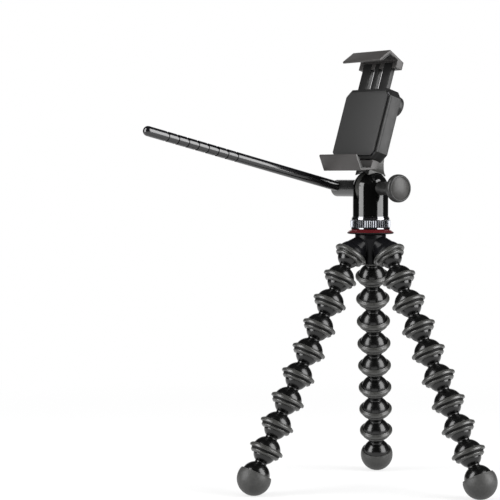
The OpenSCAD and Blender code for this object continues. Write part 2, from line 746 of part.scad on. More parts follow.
// Jaws: points of the folded outline, offset inward, in (n, height) from the fold
lip_dir = [sin(lip_angle), cos(lip_angle)];
shelf_dir = [-cos(shelf_angle), sin(shelf_angle)];
fold_sin = sin(90 + lip_angle - shelf_angle);
function fold_line(off, lip, shelf) = [
    lip * lip_dir + off * [-lip_dir[1], lip_dir[0]],
    off / fold_sin * (lip_dir + shelf_dir),
    shelf * shelf_dir + off * [shelf_dir[1], -shelf_dir[0]]];
function back_to_front(list) = [for (i = [len(list) - 1:-1:0]) list[i]];
lip_round = jaw_t / 2;
lip_end = lip_len * lip_dir + lip_round * [-lip_dir[1], lip_dir[0]];
lip_steps = 8;

// one outline of plate, rounded lip and foot, the foot from back to front
module jaw_section(foot_n0, foot_n1, foot_top)
    polygon(concat(
        [[foot_n0, foot_top], [foot_n0, -foot_n0 * tan(shelf_angle)], [0, 0]],
        [for (i = [0:lip_steps]) let (a = 180 - i * 180 / lip_steps)
            lip_end + lip_round * (cos(a) * [-lip_dir[1], lip_dir[0]] + sin(a) * lip_dir)],
        [fold_line(jaw_t, 0, 0)[1],
         [foot_n1, -foot_n1 * tan(shelf_angle) + jaw_t / cos(shelf_angle)],
         [foot_n1, foot_top]]));

module jaw_pad_section()
    polygon(concat(fold_line(jaw_t + rubber_gap, lip_len - lip_round, jaw_pad_shelf),
        back_to_front(fold_line(jaw_t + jaw_pad_t, lip_len - 2 * lip_round, jaw_pad_shelf))));

module lower_jaw()
    color([0.24, 0.24, 0.25]) tilted() across(jaw_w) translate([fold_reach, lower_fold_rise])
        jaw_section(jaw_block_n - fold_reach, shell_front_n - fold_reach,
                    clamp_rise - lower_fold_rise - face_gap);

module lower_jaw_pad()
    color([0.1, 0.1, 0.1]) tilted() across(jaw_w) translate([fold_reach, lower_fold_rise])
        jaw_pad_section();

module upper_jaw()
    color([0.24, 0.24, 0.25]) tilted() difference() {
        across(jaw_w) translate([fold_reach, upper_fold_rise]) mirror([0, 1])
            jaw_section(jaw_block_n - fold_reach, shell_front_n - fold_reach, jaw_block_h);
        rail_blocks(face_gap, rail_low, rail_top + face_gap, rail_n - face_gap,
                    rail_n + rail_t + face_gap);
        block(-post_w / 2 - face_gap, post_w / 2 + face_gap, rail_n - face_gap,
              rail_n + rail_t + face_gap, rail_low, rail_top + face_gap);
    }

module upper_jaw_pad()
    color([0.1, 0.1, 0.1]) tilted() across(jaw_w) translate([fold_reach, upper_fold_rise])
        mirror([0, 1]) jaw_pad_section();

module slide_rails()
    color([0.06, 0.06, 0.06]) tilted()
        rail_blocks(0, rail_low, rail_top, rail_n, rail_n + rail_t);

module middle_rail()
    color([0.06, 0.06, 0.06]) tilted()
        block(-post_w / 2, post_w / 2, rail_n, rail_n + rail_t, rail_low, rail_top);

// Jaw lock
module brake_shoe()
    color([0.16, 0.16, 0.16]) tilted()
        block(-shoe_w / 2, shoe_w / 2, channel_n - shoe_t - rail_gap, channel_n - rail_gap,
              lock_z - shoe_h / 2, lock_z + shoe_h / 2);

module lock_knob()
    color([0.05, 0.05, 0.05]) tilted() translate([0, 0, lock_z]) rotate([-90, 0, 0]) difference() {
        union() {
            translate([0, 0, face_gap - clamp_back_reach])
                cylinder(r = lock_stem_r, h = lock_stem_len + wall);
            translate([0, 0, lock_stem_len - clamp_back_reach]) intersection() {
                translate([0, 0, lock_knob_r]) sphere(r = lock_knob_r);
                cylinder(r = lock_knob_r, h = knob_crown_h);
            }
        }
        translate([0, 0, -clamp_back_reach]) cylinder(r = lock_screw_r + face_gap, h = lock_stem_len);
    }

module lock_screw()
    color([0.7, 0.7, 0.72]) tilted() toward_front(lock_z)
        translate([0, 0, clamp_back_reach - lock_stem_len + face_gap])
            cylinder(r = lock_screw_r,
                     h = channel_n - shoe_t - 2 * rail_gap - clamp_back_reach + lock_stem_len - face_gap);

for (leg = [0:legs - 1], i = [1:leg_joints - 1])
    leg_segment(leg, i);
for (leg = [0:legs - 1])
    foot(leg);
hub_body();
hub_grips();
hub_stud();
base_ring();
lock_ring();
pan_base();
pan_screw();
pan_washer();
pan_housing();
tilt_washers();
tilt_arm();
tilt_bolt();
clamp_pivot();
pivot_washer();
handle_socket();
handle_rod();
tilt_knob();
tilt_knob_cap();
clamp_back();
clamp_front();
clamp_screws();
back_pad();
lower_jaw();
lower_jaw_pad();
brake_shoe();
upper_jaw();
upper_jaw_pad();
slide_rails();
middle_rail();
lock_knob();
lock_screw();
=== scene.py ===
"""Dresses the flexible tripod: finer leg, hub, ring and head pieces over the CAD
solids, procedural materials, a studio and the camera."""
import json
import math

import bmesh
import bpy
from mathutils import Matrix, Vector


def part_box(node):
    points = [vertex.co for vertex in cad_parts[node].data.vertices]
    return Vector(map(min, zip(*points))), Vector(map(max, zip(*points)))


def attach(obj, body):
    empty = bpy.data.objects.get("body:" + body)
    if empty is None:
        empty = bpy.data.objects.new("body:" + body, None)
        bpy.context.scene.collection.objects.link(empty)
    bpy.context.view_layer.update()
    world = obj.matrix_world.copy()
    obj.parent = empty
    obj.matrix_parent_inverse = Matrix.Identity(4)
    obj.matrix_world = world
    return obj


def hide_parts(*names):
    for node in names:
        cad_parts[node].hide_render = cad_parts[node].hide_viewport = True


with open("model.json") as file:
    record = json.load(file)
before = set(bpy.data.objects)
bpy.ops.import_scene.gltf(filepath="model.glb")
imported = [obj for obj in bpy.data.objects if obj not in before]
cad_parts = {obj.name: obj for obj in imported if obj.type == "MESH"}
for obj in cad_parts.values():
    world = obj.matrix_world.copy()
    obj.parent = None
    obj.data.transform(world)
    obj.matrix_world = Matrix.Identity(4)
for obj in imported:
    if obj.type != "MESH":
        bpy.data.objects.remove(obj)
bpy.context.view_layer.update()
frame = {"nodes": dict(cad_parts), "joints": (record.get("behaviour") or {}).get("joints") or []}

MM = 0.001
ON_AXIS = 1e-6  # mm from the axis at which a turned outline closes to a point
NODES = frame["nodes"]
JOINTS = {joint["name"]: joint for joint in frame["joints"]}
LEGS = ("left", "right", "rear")
SEGMENTS = 8


def joint_pos(name):
    return Vector(JOINTS[name]["pos_m"]) / MM


# Materials

SMEAR_FROM, SMEAR_TO = 0.35, 0.7  # noise levels between which the smears roughen
SMEAR_DETAIL, MOTTLE_DETAIL, GRAIN_DETAIL = 4, 3, 2


def noise(nodes, links, place, scale, detail):
    """Noise in the object's own space; the scale is in 1/mm."""
    node = nodes.new("ShaderNodeTexNoise")
    node.inputs["Scale"].default_value = scale / MM
    node.inputs["Detail"].default_value = detail
    links.new(place.outputs["Object"], node.inputs["Vector"])
    return node.outputs["Fac"]


def material(name, colour, roughness, metallic=0.0, specular=0.5, mottle=None,
             grain=None, smears=None):
    """A shader with its procedural detail. mottle = (other colour, scale in 1/mm,
    share of the noise over which they blend), grain = (scale in 1/mm, height in mm),
    smears = (scale in 1/mm, roughness where they are roughest)."""
    mat = bpy.data.materials.new(name)
    mat.use_nodes = True
    nodes, links = mat.node_tree.nodes, mat.node_tree.links
    shader = nodes["Principled BSDF"]
    shader.inputs["Base Color"].default_value = (*colour, 1)
    shader.inputs["Roughness"].default_value = roughness
    shader.inputs["Metallic"].default_value = metallic
    shader.inputs["Specular IOR Level"].default_value = specular
    mat.diffuse_color = (*colour, 1)
    place = nodes.new("ShaderNodeTexCoord")
    if smears:
        scale, roughest = smears
        spread = nodes.new("ShaderNodeMapRange")
        spread.inputs["From Min"].default_value = SMEAR_FROM
        spread.inputs["From Max"].default_value = SMEAR_TO
        spread.inputs["To Min"].default_value = roughness
        spread.inputs["To Max"].default_value = roughest
        links.new(noise(nodes, links, place, scale, SMEAR_DETAIL),
                  spread.inputs["Value"])
        links.new(spread.outputs["Result"], shader.inputs["Roughness"])
    if mottle:
        other, scale, share = mottle
        ramp = nodes.new("ShaderNodeValToRGB")
        ramp.color_ramp.elements[0].position = 0.5 - share / 2
        ramp.color_ramp.elements[1].position = 0.5 + share / 2
        ramp.color_ramp.elements[0].color = (*colour, 1)
        ramp.color_ramp.elements[1].color = (*other, 1)
        links.new(noise(nodes, links, place, scale, MOTTLE_DETAIL), ramp.inputs["Fac"])
        links.new(ramp.outputs["Color"], shader.inputs["Base Color"])
    if grain:
        scale, height = grain
        bump = nodes.new("ShaderNodeBump")
        bump.inputs["Distance"].default_value = height * MM
        bump.inputs["Strength"].default_value = 1
        links.new(noise(nodes, links, place, scale, GRAIN_DETAIL), bump.inputs["Height"])
        links.new(bump.outputs["Normal"], shader.inputs["Normal"])
    return mat


GLOSS = material("gloss_black", (0.002, 0.002, 0.002), 0.19, smears=(0.12, 0.26))
# A dull black that reflects little, put where shade falls: painted shade in the ridges' groove
# and under the base ring's foot
SHADE_BLACK = material("shade_black", (0.004, 0.004, 0.004), 0.5, specular=0.15,
                  smears=(0.3, 0.6))
HEAD_GLOSS = material("head_gloss", (0.002, 0.002, 0.002), 0.08, smears=(0.1, 0.12))
RUBBER = material("ring_rubber", (0.026, 0.026, 0.024), 0.36, specular=0.8,
                  mottle=((0.042, 0.042, 0.039), 0.6, 0.5), grain=(2.5, 0.03))
FOOT_RUBBER = material("foot_rubber", (0.032, 0.032, 0.031), 0.5,
                       mottle=((0.047, 0.047, 0.045), 0.5, 0.4), grain=(1.6, 0.05))
SATIN = material("satin_black", (0.012, 0.012, 0.012), 0.36, specular=0.3,
                 grain=(3.0, 0.01), smears=(0.15, 0.46))
SOCKET = material("socket_black", (0.012, 0.012, 0.012), 0.2, specular=1.0,
                  grain=(3.0, 0.008), smears=(0.15, 0.3))
RIM = material("rim_black", (0.006, 0.006, 0.006), 0.3, specular=0.4,
               mottle=((0.03, 0.03, 0.029), 0.5, 0.5), smears=(0.15, 0.36))
HUB_SATIN = material("hub_satin", (0.005, 0.005, 0.006), 0.24, specular=0.13,
                     grain=(3.0, 0.006), smears=(0.15, 0.34))
ARM_GREY = material("arm_satin", (0.022, 0.022, 0.021), 0.36, specular=0.38,
                    mottle=((0.046, 0.046, 0.043), 0.5, 0.6), grain=(3.0, 0.012))
RED = material("ring_red", (0.14, 0.014, 0.018), 0.15, metallic=0.5, specular=0.6,
               smears=(0.3, 0.28))
SILVER = material("ring_silver", (0.15, 0.154, 0.168), 0.2, metallic=1.0,
                  smears=(0.6, 0.28))
POLISHED = material("ring_polish", (0.2, 0.2, 0.21), 0.09, metallic=1.0,
                    smears=(0.3, 0.14))
STEEL = material("steel", (0.6, 0.6, 0.62), 0.3, metallic=1.0, smears=(0.5, 0.4))
NYLON = material("nylon", (0.7, 0.7, 0.66), 0.5, smears=(0.5, 0.6))
KNOB_FACE = material("knob_face", (0.03, 0.029, 0.028), 0.38, specular=0.36,
                     mottle=((0.046, 0.045, 0.043), 0.5, 0.5), grain=(3.0, 0.015))
JAW = material("jaw_grey", (0.044, 0.041, 0.04), 0.4, specular=0.42,
               grain=(3.0, 0.012), smears=(0.1, 0.48))
JAW_RUBBER = material("jaw_rubber", (0.016, 0.016, 0.016), 0.6, grain=(2.0, 0.02))
ROD = material("rod_gloss", (0.004, 0.004, 0.005), 0.13, specular=0.8,
               smears=(0.2, 0.2))

FINISH = {
    "hub_body": HUB_SATIN, "hub_grips": RUBBER, "hub_stud": STEEL, "base_ring": RED,
    "lock_ring": SILVER, "pan_base": HEAD_GLOSS, "pan_screw": STEEL, "pan_washer": NYLON,
    "pan_housing": HEAD_GLOSS, "tilt_washers": NYLON, "tilt_arm": ARM_GREY,
    "tilt_bolt": STEEL, "clamp_pivot": STEEL, "pivot_washer": NYLON,
    "handle_socket": SOCKET, "handle_rod": ROD, "tilt_knob": SATIN,
    "tilt_knob_cap": KNOB_FACE, "clamp_back": SATIN, "clamp_front": SATIN,
    "clamp_screws": STEEL, "back_pad": JAW_RUBBER, "lower_jaw": JAW,
    "lower_jaw_pad": JAW_RUBBER, "brake_shoe": JAW_RUBBER, "upper_jaw": JAW,
    "upper_jaw_pad": JAW_RUBBER, "slide_rails": SATIN, "middle_rail": SATIN,
    "lock_knob": SATIN, "lock_screw": STEEL,
}


def wear(obj, mat):
    if obj.material_slots:
        for place in obj.material_slots:
            place.material = mat
    else:
        obj.data.materials.append(mat)


for node_name, node_finish in FINISH.items():
    wear(NODES[node_name], node_finish)

# Shaping

SHARP = math.radians(32)
CORNER_CUT = 0.25  # share of each side that a rounding takes from a corner


def smooth(mesh, limit=SHARP):
    mesh.shade_smooth()
    mesh.set_sharp_from_angle(angle=limit)


def rounded(points, times=2, keep=()):
    """Cuts the corners of an open outline; the ends and the kept points stay."""
    kept = {tuple(points[0]), tuple(points[-1]), *map(tuple, keep)}
    for _ in range(times):
        out = [points[0]]
        for before, here, after in zip(points, points[1:], points[2:]):
            if tuple(here) in kept:
                out.append(here)
                continue
            for other in (before, after):
                out.append(tuple(h * (1 - CORNER_CUT) + o * CORNER_CUT
                                 for h, o in zip(here, other)))
        out.append(points[-1])
        points = out
    return points


def polar(centre, radius, degrees):
    """The point (r, z) at an angle from +r towards +z, never past the axis."""
    a = math.radians(degrees)
    return (max(0.0, centre[0] + radius * math.cos(a)), centre[1] + radius * math.sin(a))


def arc(centre, radius, start, end, steps):
    return [polar(centre, radius, start + (end - start) * k / steps)
            for k in range(steps + 1)]


def lathe_mesh(name, outline, sides=64, closed=False):
    """Revolves (r, z) points in mm about Z. The outline runs from top to
    bottom on the outside; a closed one comes back to its start."""
    mesh = bpy.data.meshes.new(name)
    bm = bmesh.new()
    rings = []
    for r, z in outline:
        if r < ON_AXIS:
            rings.append([bm.verts.new((0, 0, z * MM))])
            continue
        turns = [2 * math.pi * k / sides for k in range(sides)]
        rings.append([bm.verts.new((r * MM * math.cos(a), r * MM * math.sin(a), z * MM))
                      for a in turns])
    pairs = list(zip(rings, rings[1:]))
    if closed:
        pairs.append((rings[-1], rings[0]))
    for upper, lower in pairs:
        for k in range(sides):
            n = (k + 1) % sides
            if len(upper) == 1 and len(lower) == 1:
                continue
            if len(upper) == 1:
                bm.faces.new((upper[0], lower[k], lower[n]))
            elif len(lower) == 1:
                bm.faces.new((upper[k], lower[0], upper[n]))
            else:
                bm.faces.new((upper[k], lower[k], lower[n], upper[n]))
    bmesh.ops.recalc_face_normals(bm, faces=bm.faces)
    bm.to_mesh(mesh)
    bm.free()
    smooth(mesh)
    return mesh


def add(name, mesh, mat, body, matrix=None, replaces=()):
    """A piece on its body. Its place is baked into the mesh, and the material goes
    on only where the mesh hasn't been painted yet."""
    if matrix is not None:
        mesh = mesh.copy()
        mesh.transform(matrix)
    obj = bpy.data.objects.new(name, mesh)
    bpy.context.scene.collection.objects.link(obj)
    if not mesh.materials:
        mesh.materials.append(mat)
    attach(obj, body)
    if replaces:
        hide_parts(*replaces)
    return obj


def paint(mesh, mats, chosen):
    """The mesh's materials; the second one goes on the faces that chosen(centre
    in mm) picks."""
    for mat in mats:
        mesh.materials.append(mat)
    for face in mesh.polygons:
        if chosen(face.center / MM):
            face.material_index = 1


def frame_at(origin_mm, z_axis, x_hint):
    z = z_axis.normalized()
    x = (x_hint - z * x_hint.dot(z)).normalized()
    y = z.cross(x)
    turn = Matrix((x, y, z)).transposed().to_4x4()
    return Matrix.Translation(origin_mm * MM) @ turn


# Leg sizes in mm. A segment's cup is centred on its origin, and its ball is PITCH
# above it, towards the hub.

BALL_R, NECK_R, SHELL_R = 7.4, 4.0, 9.4
NECK_LEN, SHELL_DROP, MOUTH_DROP = 0.9, 1.8, 1.8
BALL_GAP, RUBBER_GAP = 0.05, 0.03
CUP_R = BALL_R + BALL_GAP
SEAT_R, GRIP_R, GRIP_H = 8.1, 11.3, 6.0
GRIP_IN = SEAT_R + RUBBER_GAP
TO_NECK = math.sqrt(BALL_R ** 2 - NECK_R ** 2)
SHELL_TO_NECK = math.sqrt(SHELL_R ** 2 - NECK_R ** 2)
PITCH = TO_NECK + NECK_LEN + SHELL_TO_NECK + SHELL_DROP
FOOT_DROP, FOOT_R, FOOT_RIM = 2.1, 11.15, 4.2
FLAT_DEPTH = 0.25
FOOT_FLAT_Z = FOOT_R - FLAT_DEPTH
FILLET_BACK = 3  # degrees of each ball's arc that the neck's fillet takes
# Steps of the turned arcs
BALL_ARC, SHOULDER_ARC, CUP_ARC, FOOT_ARC, BOOT_ARC, CROWN_ARC = 26, 18, 20, 40, 44, 16


def neck_outline(ball_z, shell_z):
    """From the top of the ball down to the shell's shoulder, with small fillets, and
    the angle from the axis at which the shell's arc goes on."""
    ball_end = math.degrees(math.asin(NECK_R / BALL_R))
    shell_end = math.degrees(math.asin(NECK_R / SHELL_R))
    top = arc((0, ball_z), BALL_R, 90, -90 + ball_end + FILLET_BACK, BALL_ARC)
    ball_low = (NECK_R, ball_z - TO_NECK)
    shell_high = (NECK_R, shell_z + SHELL_TO_NECK)
    shell_start = polar((0, shell_z), SHELL_R, 90 - shell_end - FILLET_BACK)
    middle = rounded([top[-1], ball_low, shell_high, shell_start], 2)
    return top + middle[1:], shell_end + FILLET_BACK


neck, shoulder = neck_outline(PITCH, SHELL_DROP)
SHELL_EDGE_Z = 3.5
SHELL_LOW = math.degrees(math.asin((SHELL_EDGE_Z - SHELL_DROP) / SHELL_R))
MOUTH_IN = math.sqrt(CUP_R ** 2 - MOUTH_DROP ** 2)
MOUTH_CHAMFER, MOUTH_LIP = 0.2, 0.15
cup_edge = math.degrees(math.asin(MOUTH_DROP / CUP_R))
# The band between the rubber's two ridges. Its faces get a dull black that reflects little, as
# painted shade in the groove
FLANGE_HIGH, FLANGE_LOW = 1.34, 0.14
FLANGE_HIGH_R, FLANGE_LOW_R = 9.9, 9.45
shell_outline = (
    neck
    + arc((0, SHELL_DROP), SHELL_R, 90 - shoulder, SHELL_LOW, SHOULDER_ARC)[1:]
    + [(SEAT_R, SHELL_EDGE_Z), (SEAT_R, FLANGE_HIGH), (FLANGE_HIGH_R, FLANGE_HIGH),
       (FLANGE_LOW_R, FLANGE_LOW), (SEAT_R, FLANGE_LOW),
       (SEAT_R, -MOUTH_DROP + MOUTH_CHAMFER), (SEAT_R - MOUTH_CHAMFER, -MOUTH_DROP),
       (MOUTH_IN + MOUTH_LIP, -MOUTH_DROP)]
    + arc((0, 0), CUP_R, -cup_edge, 90, CUP_ARC))


PAINT_PAST = 0.01  # mm past the band's ends that still count as on it


def on_shaded_flange(at):
    return (at.xy.length > SEAT_R + RUBBER_GAP
            and FLANGE_LOW - PAINT_PAST < at.z < FLANGE_HIGH + PAINT_PAST)


# the flange's faces get the dull black: painted shade in the groove between the ridges
SHELL_MESH = lathe_mesh("segment_shell", shell_outline)
paint(SHELL_MESH, (GLOSS, SHADE_BLACK), on_shaded_flange)

RING_TOP = GRIP_H - MOUTH_DROP
RIDGE_SIDES = 72
# The rubber's two ridges as (share of its width, share of its height from the top),
# and the corners of each that stay sharp
UPPER_RIDGE = [(0, 0.13), (0.36, 0.13), (0.38, 0.03), (0.42, -0.015), (0.49, -0.01),
               (0.53, 0.035), (0.58, 0.03), (0.64, 0.04), (0.69, 0.085), (0.75, 0.08),
               (0.81, 0.095), (0.86, 0.145), (0.91, 0.145), (0.96, 0.175),
               (1.0, 0.235), (1.0, 0.37), (0.965, 0.44), (0.86, 0.465), (0.6, 0.475),
               (0, 0.475)]
UPPER_KEPT = (1, 18)
LOWER_RIDGE = [(0, 0.68), (0.4, 0.68), (0.46, 0.7), (0.48, 0.77), (0.43, 0.83),
               (0.2, 0.96), (0.06, 1.0), (0, 1.0)]
LOWER_KEPT = (1,)


def ridge_mesh(shares, kept):
    points = [(GRIP_IN + r * (GRIP_R - GRIP_IN), RING_TOP - h * GRIP_H)
              for r, h in shares]
    outline = rounded(points, 1, keep=[points[k] for k in kept])
    return lathe_mesh("ridge", outline, sides=RIDGE_SIDES, closed=True)


def joined(name, *meshes):
    bm = bmesh.new()
    for mesh in meshes:
        bm.from_mesh(mesh)
    whole = bpy.data.meshes.new(name)
    bm.to_mesh(whole)
    bm.free()
    smooth(whole)
    return whole


RING_MESH = joined("grip_ring", ridge_mesh(UPPER_RIDGE, UPPER_KEPT),
                   ridge_mesh(LOWER_RIDGE, LOWER_KEPT))

foot_neck, foot_shoulder = neck_outline(PITCH - SHELL_DROP + FOOT_DROP, FOOT_DROP)
FOOT_SHELL_MESH = lathe_mesh(
    "foot_shell",
    foot_neck + arc((0, FOOT_DROP), SHELL_R, 90 - foot_shoulder, -90, FOOT_ARC)[1:])

BOOT_IN = SHELL_R + RUBBER_GAP
BOOT_BALL_DROP = 1.1  # from the rim down to where the boot's ball begins
LIP_IN = 0.35
# The boot's stepped rim, as distances from the ball's edge and from the rim
BOOT_LIP = [(-0.45, -0.05), (-0.25, -0.45), (-0.3, -0.85), (-0.02, -1.0)]


def boot_mesh(lean_axis, lean):
    """The rubber boot: a round cup with a stepped rim and a small flat below."""
    low = math.degrees(math.asin((FOOT_RIM - BOOT_BALL_DROP) / FOOT_R))
    outside = arc((0, 0), FOOT_R, low, -90, BOOT_ARC)
    edge_r = outside[0][0]
    inner_high = math.degrees(math.asin((FOOT_RIM - FOOT_DROP) / BOOT_IN))
    inside = arc((0, FOOT_DROP), BOOT_IN, -90, inner_high, FOOT_ARC)
    lip = rounded([inside[-1], (inside[-1][0] + LIP_IN, FOOT_RIM)]
                  + [(edge_r + out, FOOT_RIM + up) for out, up in BOOT_LIP]
                  + [outside[0]], 2)
    mesh = lathe_mesh("boot", lip[1:-1] + outside + inside[:-1], closed=True)
    turn = Matrix.Rotation(lean, 3, lean_axis)
    back = turn.inverted()
    for vert in mesh.vertices:
        p = turn @ vert.co
        if p.z < -FOOT_FLAT_Z * MM:
            p.z = -FOOT_FLAT_Z * MM
            vert.co = back @ p
    smooth(mesh)
    return mesh


# The legs: a glossy shell and a rubber ring for each segment, and a booted foot
for leg in LEGS:
    balls = [joint_pos(f"{leg}_ball_{i}") for i in range(1, SEGMENTS + 2)]
    along = (balls[0] - balls[-1]).normalized()
    outward = Vector((along.x, along.y, 0)).normalized()
    across = Vector((0, 0, 1)).cross(outward)
    for i in range(1, SEGMENTS + 1):
        place = frame_at(balls[i], along, across)
        node_name = f"{leg}_leg_{i}"
        add(f"{node_name}_shell", SHELL_MESH, GLOSS, node_name, place,
            (node_name,))
        add(f"{node_name}_ring", RING_MESH, RUBBER, node_name, place,
            (node_name,))
    foot_name = f"{leg}_foot"
    foot_centre = balls[-1] - along * (PITCH - SHELL_DROP + FOOT_DROP)
    place = frame_at(foot_centre, along, across)
    lean = math.acos(along.z)
    # the leg leans about the foot's own X, towards the side where its Y rises
    if (place.to_3x3() @ Vector((0, 1, 0))).z <= 0:
        lean = -lean
    boot = boot_mesh(Vector((1, 0, 0)), lean)
    add(f"{foot_name}_shell", FOOT_SHELL_MESH, GLOSS, foot_name, place,
        (foot_name,))
    add(f"{foot_name}_boot", boot, FOOT_RUBBER, foot_name, place,
        (foot_name,))

# The base ring: a red chamfer over a black foot. Its outlines are (share of its
# radius, share of its height)
HUB_TOP_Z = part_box("base_ring")[0][2] / MM
RING_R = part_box("base_ring")[1][0] / MM
RING_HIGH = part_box("base_ring")[1][2] / MM - HUB_TOP_Z
RING_HOLE = 5.15
FINE_SIDES = 128
RED_FROM = 0.36
CHAMFER = [(0.8, 1.0), (0.82, 0.92), (0.9, 0.72), (0.975, 0.46), (0.995, RED_FROM)]
DARK_FOOT = [(0.995, RED_FROM), (1.0, 0.26), (0.97, 0.06), (0.8, 0.02), (0.7, 0.0)]


def ring_part(name, shares, mat):
    points = [(share * RING_R, HUB_TOP_Z + rise * RING_HIGH) for share, rise in shares]
    inner = [(RING_HOLE, points[-1][1]), (RING_HOLE, points[0][1])]
    mesh = lathe_mesh(name, rounded(points, 2) + inner, sides=FINE_SIDES, closed=True)
    return add(name, mesh, mat, "stand", None, ("base_ring",))


ring_part("base_ring_chamfer", CHAMFER, RED)
# the foot is really black; its dull black that hardly reflects the floor is painted shade under
# the ring
ring_part("base_ring_foot", DARK_FOOT, SHADE_BLACK)

# The locking ring: a polished skirt, a band of ribs and a polished upper lip
RIBS = 54
RIB_TOP, RIB_LEFT = 0.06, 0.44  # shares of a rib's pitch: its crest, each flank
RIB_SHARP = math.radians(25)
LOCK_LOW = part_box("lock_ring")[0][2] / MM
LOCK_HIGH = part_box("lock_ring")[1][2] / MM
LOCK_BORE = 3.3
BAND_LOW, BAND_HIGH = 1.0, 5.6
# Height over the ring's foot, radius of a rib, radius of a groove
LOCK_LEVELS = [(0.0, 12.85, 12.85), (0.1, 12.95, 12.95), (0.8, 12.72, 12.72),
               (0.9, 12.6, 12.6), (BAND_LOW, 12.45, 12.45), (1.25, 13.15, 12.55),
               (5.35, 13.18, 12.58), (BAND_HIGH, 13.0, 12.55), (5.75, 12.9, 12.9),
               (6.0, 12.75, 12.75)]


def off_band(at):
    return not BAND_LOW < at.z - LOCK_LOW < BAND_HIGH


def lock_ring_mesh():
    mesh = bpy.data.meshes.new("lock_ring_ribbed")
    bm = bmesh.new()
    pitch = 2 * math.pi / RIBS
    corners = []
    for k in range(RIBS):
        for at, on_rib in ((-RIB_TOP / 2, True), (RIB_TOP / 2, True),
                           (RIB_TOP / 2 + RIB_LEFT, False),
                           (1 - RIB_TOP / 2 - RIB_LEFT, False)):
            corners.append(((k + at) * pitch, on_rib))
    levels = [(LOCK_LOW, LOCK_BORE, LOCK_BORE)]
    levels += [(LOCK_LOW + rise, rib, groove) for rise, rib, groove in LOCK_LEVELS]
    levels.append((LOCK_LOW + LOCK_LEVELS[-1][0], LOCK_BORE, LOCK_BORE))
    rings = []
    for z, rib, groove in levels:
        ring = []
        for a, on_rib in corners:
            r = rib if on_rib else groove
            ring.append(bm.verts.new((r * MM * math.cos(a), r * MM * math.sin(a), z * MM)))
        rings.append(ring)
    count = len(corners)
    for lower, upper in list(zip(rings, rings[1:])) + [(rings[-1], rings[0])]:
        for k in range(count):
            n = (k + 1) % count
            bm.faces.new((lower[k], lower[n], upper[n], upper[k]))
    bmesh.ops.recalc_face_normals(bm, faces=bm.faces)
    bm.to_mesh(mesh)
    bm.free()
    smooth(mesh, RIB_SHARP)
    paint(mesh, (SILVER, POLISHED), off_band)
    return mesh


add("lock_ring_ribbed", lock_ring_mesh(), SILVER, "lock_ring", None,
    ("lock_ring",))

# The collar: a polished band with a dark gap over it, and the spindle inside, as
# (radius, height over the band's foot)
COLLAR_GAP = 0.05
COLLAR_Z = LOCK_HIGH + COLLAR_GAP
COLLAR = [(3.25, 6.15), (6.0, 6.15), (6.0, 2.05), (12.1, 2.05), (12.15, 1.5),
          (12.35, 1.4), (12.5, 1.3), (12.45, 0.1), (12.3, 0.0), (3.25, 0.0)]
collar_mesh = lathe_mesh("collar_turned", [(r, COLLAR_Z + rise) for r, rise in COLLAR],
                         sides=FINE_SIDES, closed=True)
add("collar_turned", collar_mesh, POLISHED, "stand", None, ("pan_base",))

# The tilt knob, as (radius, place along X from the pan axis), and its bore
TILT_Z = joint_pos("head_tilt").z
KNOB_SIDES = 96
KNOB_OUTLINE = [(4.3, 8.05), (4.3, 25.6), (4.5, 26.6), (5.4, 27.4), (7.5, 28.1),
                (8.8, 28.5), (9.15, 29.1), (9.15, 30.6), (9.05, 31.4), (8.7, 32.1),
                (8.1, 32.6), (7.55, 32.65), (7.3, 32.3), (7.3, 30.02)]
KNOB_CORNERS = (0, 12, 13)
KNOB_BORE = [(2.56, 30.02), (2.56, 8.05)]
CAP_FOOT, CAP_R, CAP_EDGE, CAP_CROWN = 30.06, 7.26, 32.4, 1.35
CAP_CHAMFER, CAP_BACK = 0.1, 3  # mm, and degrees of the crown's arc


def revolved_on_x(name, outline, mat, body, replaced):
    place = frame_at(Vector((0, 0, TILT_Z)), Vector((1, 0, 0)), Vector((0, 0, -1)))
    mesh = lathe_mesh(name, outline, sides=KNOB_SIDES, closed=True)
    return add(name, mesh, mat, body, place, (replaced,))


knob_outline = rounded(KNOB_OUTLINE, 2, keep=[KNOB_OUTLINE[k] for k in KNOB_CORNERS])
revolved_on_x("tilt_knob_turned", knob_outline + KNOB_BORE, RIM,
              "tilt_knob", "tilt_knob")
cap_ball = (CAP_R ** 2 + CAP_CROWN ** 2) / (2 * CAP_CROWN)
cap_half = math.degrees(math.asin(CAP_R / cap_ball))
crown = arc((0, CAP_EDGE + CAP_CROWN - cap_ball), cap_ball, 90,
            90 - cap_half + CAP_BACK, CROWN_ARC)
revolved_on_x("tilt_knob_face",
              crown + [(CAP_R, CAP_EDGE - CAP_CHAMFER), (CAP_R, CAP_FOOT), (0, CAP_FOOT)],
              KNOB_FACE, "tilt_knob", "tilt_knob_cap")

# Plates with rounded edges, and cast pieces with softened ones

WELD = 1e-6
FLAT_TURN = math.radians(1.5)
EDGE_TURN = math.radians(28)
EDGE_STEPS = 3
PLATE_SHARP, CAST_SHARP = math.radians(40), math.radians(50)


def bevelled(node, mat, body, width):
    """A copy of a flat-sided node with its edges rounded; the width is in mm."""
    mesh = NODES[node].data.copy()
    mesh.name = node + "_rounded"
    mesh.materials.clear()
    bm = bmesh.new()
    bm.from_mesh(mesh)
    bmesh.ops.remove_doubles(bm, verts=bm.verts, dist=WELD)
    bmesh.ops.dissolve_limit(bm, angle_limit=FLAT_TURN, verts=bm.verts, edges=bm.edges)
    sharp = [e for e in bm.edges if e.is_manifold and e.calc_face_angle(0) > EDGE_TURN]
    bmesh.ops.bevel(bm, geom=sharp, offset=width * MM, offset_type="OFFSET",
                    segments=EDGE_STEPS, profile=0.5, affect="EDGES",
                    clamp_overlap=True)
    bm.to_mesh(mesh)
    bm.free()
    smooth(mesh, PLATE_SHARP)
    return add(node + "_rounded", mesh, mat, body, None, (node,))


